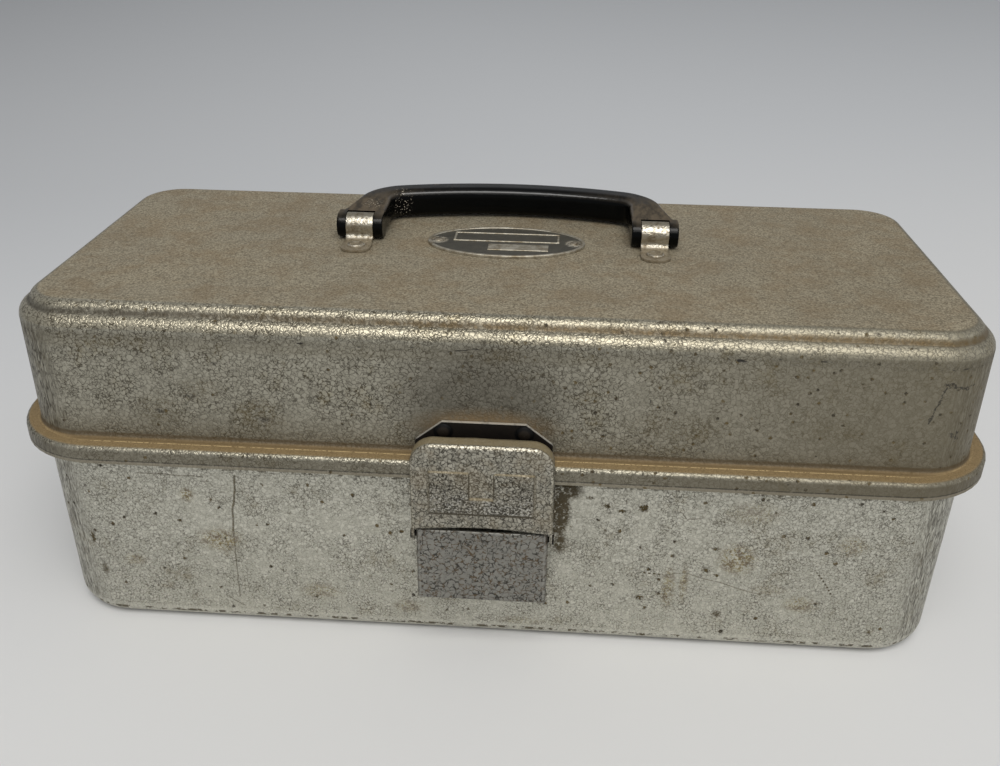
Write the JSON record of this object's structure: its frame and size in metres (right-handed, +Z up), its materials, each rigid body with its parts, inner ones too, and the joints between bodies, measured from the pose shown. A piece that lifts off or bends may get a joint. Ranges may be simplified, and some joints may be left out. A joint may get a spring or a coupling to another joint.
{
  "type": "tackle box",
  "caption": "Portable drawn aluminium box with a rear hinged lid, front lever latch, folding top handle and two level-rising trays inside.",
  "frame": {"origin": "on the floor, at the middle of the base's flat underside", "axes": "X runs along the front to the right as seen from the latch's side, Y from the front to the back, Z up"},
  "size_m": [0.34, 0.1603, 0.1391],
  "materials": {
    "textured_sheet": "drawn sheet with an embossed leather grain, dull and worn",
    "hinge_steel": "plain plated strip",
    "rivet_metal": "dull soft metal",
    "strap_sheet": "bright sheet with a hammered grain",
    "plate_metal": "bright raised rim and borders on a dark satin field",
    "latch_black": "black paint, worn to bright metal along its edges",
    "latch_steel": "plain plated strip",
    "latch_sheet": "sheet with a coarse embossed leather grain",
    "lever_sheet": "bluish grey sheet with fine cracks in its grain",
    "arm_metal": "plain mill finish strip",
    "handle_plastic": "glossy black, dusty at its ends",
    "tray_sheet": "plain mill finish sheet"
  },
  "bodies": {
    "base": {"base_shell": "textured_sheet", "base_hinge_leaf_left": "hinge_steel", "base_hinge_leaf_right": "hinge_steel", "base_hinge_rivets": "rivet_metal", "hinge_pins": "hinge_steel", "latch_keeper": "latch_steel", "latch_keeper_rivets": "rivet_metal", "arm_pivot_rivets": "rivet_metal", "arm_pivot_washers": "rivet_metal"},
    "lid": {"lid_shell": "textured_sheet", "lid_hinge_leaf_left": "hinge_steel", "lid_hinge_leaf_right": "hinge_steel", "lid_hinge_rivets": "rivet_metal", "handle_strap_left": "strap_sheet", "handle_strap_right": "strap_sheet", "handle_strap_rivets": "rivet_metal", "nameplate": "plate_metal", "nameplate_rivets": "rivet_metal", "latch_bracket": "latch_black", "latch_bracket_rivets": "latch_black", "latch_cover": "latch_sheet", "latch_lever_pins": "rivet_metal", "lid_arm_left": "arm_metal", "lid_arm_right": "arm_metal", "lid_arm_spacers": "rivet_metal", "lid_arm_rivets": "rivet_metal"},
    "handle": {"carrying_handle": "handle_plastic"},
    "lever": {"latch_lever": "lever_sheet"},
    "front_arms": {"front_arm_left": "arm_metal", "front_arm_right": "arm_metal"},
    "tray_lower": {"lower_tray": "tray_sheet", "lower_tray_dividers": "tray_sheet", "lower_tray_pins": "rivet_metal"},
    "tray_upper": {"upper_tray": "tray_sheet", "upper_tray_dividers": "tray_sheet", "upper_tray_pins": "rivet_metal"}
  },
  "joints": [
    {"name": "lid_hinge", "type": "hinge", "parent": "base", "child": "lid", "pos_m": [0, 0.0786, 0.0725], "axis": [-1, 0, 0], "range_deg": [0, 95]},
    {"name": "handle_fold", "type": "hinge", "parent": "lid", "child": "handle", "pos_m": [0, 0.0065, 0.1323], "axis": [1, 0, 0], "range_deg": [0, 130]},
    {"name": "lever_turn", "type": "hinge", "parent": "lid", "child": "lever", "pos_m": [-0.0022, -0.0756, 0.05], "axis": [-1, 0, 0], "range_deg": [-4.5, 60]},
    {"name": "front_arm_turn", "type": "hinge", "parent": "base", "child": "front_arms", "pos_m": [0, 0.0406, 0.0725], "axis": [-1, 0, 0], "range_deg": [0, 95]},
    {"name": "lower_tray_turn", "type": "hinge", "parent": "lid", "child": "tray_lower", "pos_m": [0, 0.0306, 0.0725], "axis": [1, 0, 0], "range_deg": [0, 95]},
    {"name": "upper_tray_turn", "type": "hinge", "parent": "lid", "child": "tray_upper", "pos_m": [0, -0.0014, 0.0865], "axis": [1, 0, 0], "range_deg": [0, 95]}
  ],
  "couplings": [
    {"joint": "front_arm_turn", "follows": "lid_hinge", "ratio": 1},
    {"joint": "lower_tray_turn", "follows": "lid_hinge", "ratio": 1},
    {"joint": "upper_tray_turn", "follows": "lid_hinge", "ratio": 1}
  ]
}
